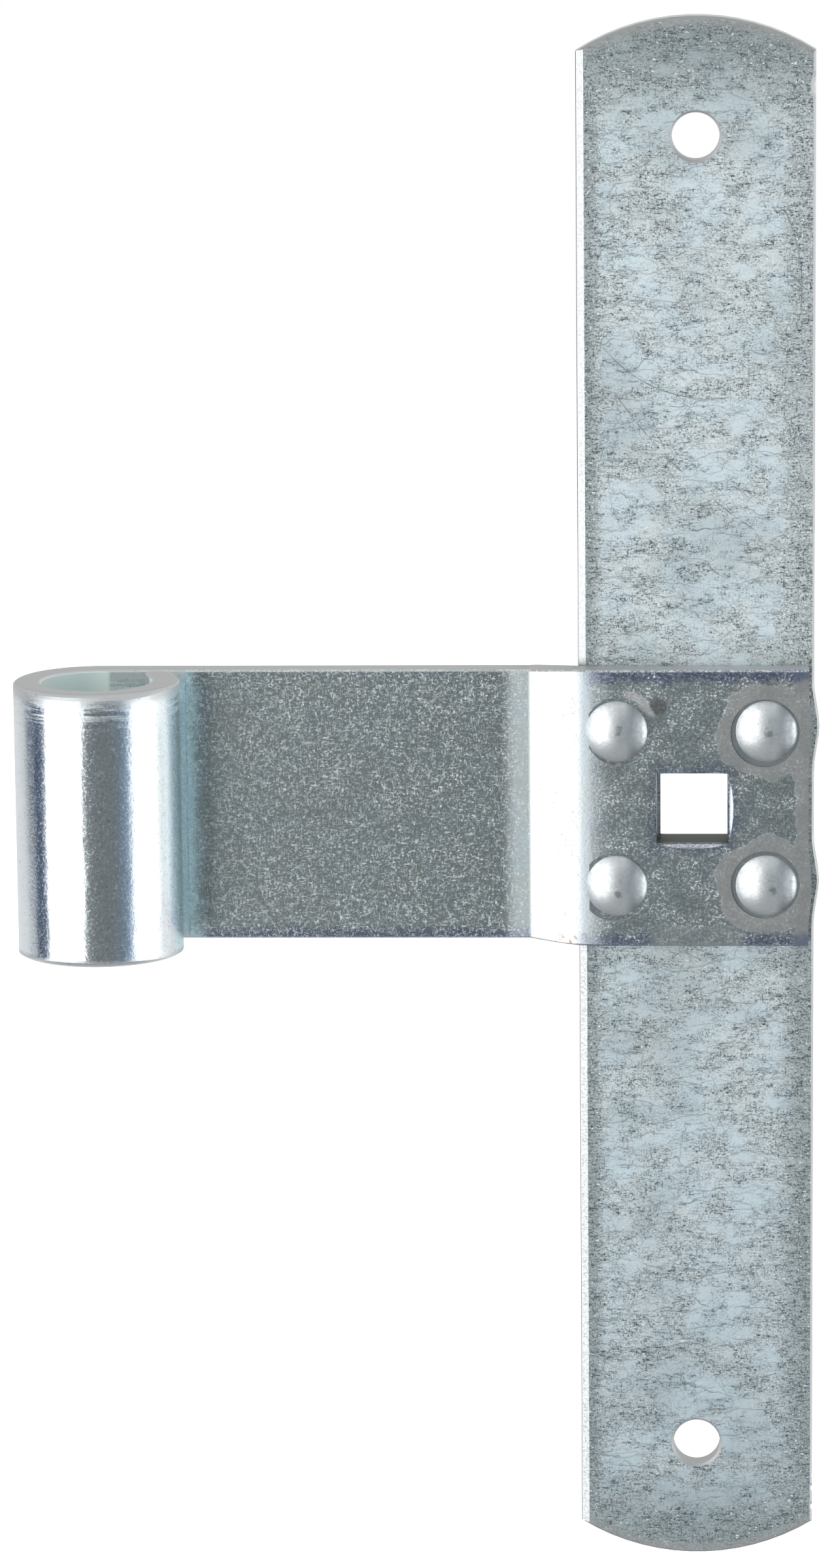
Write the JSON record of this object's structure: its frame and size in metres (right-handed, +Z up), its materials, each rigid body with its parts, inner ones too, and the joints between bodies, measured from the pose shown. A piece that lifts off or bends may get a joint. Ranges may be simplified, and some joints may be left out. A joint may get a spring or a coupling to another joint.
{
  "type": "shutter hinge",
  "caption": "Zinc-plated shutter hinge: upright screw-on strap with arced ends, and a riveted cross arm that is stepped down beside it and rolled into an eye for a wall pintle.",
  "frame": {"origin": "on the axis of the rolled eye, half way up it", "axes": "+Z up along the pintle and the strap, +X from the eye towards the strap, +Y to the back that lies on the shutter"},
  "size_m": [0.1019, 0.021, 0.2],
  "materials": {
    "strap_zinc": "satin",
    "arm_zinc": "satin",
    "rivet_zinc": "satin"
  },
  "bodies": {
    "root": {"mounting_strap": "strap_zinc", "hinge_arm": "arm_zinc", "rivets": "rivet_zinc"}
  },
  "joints": []
}
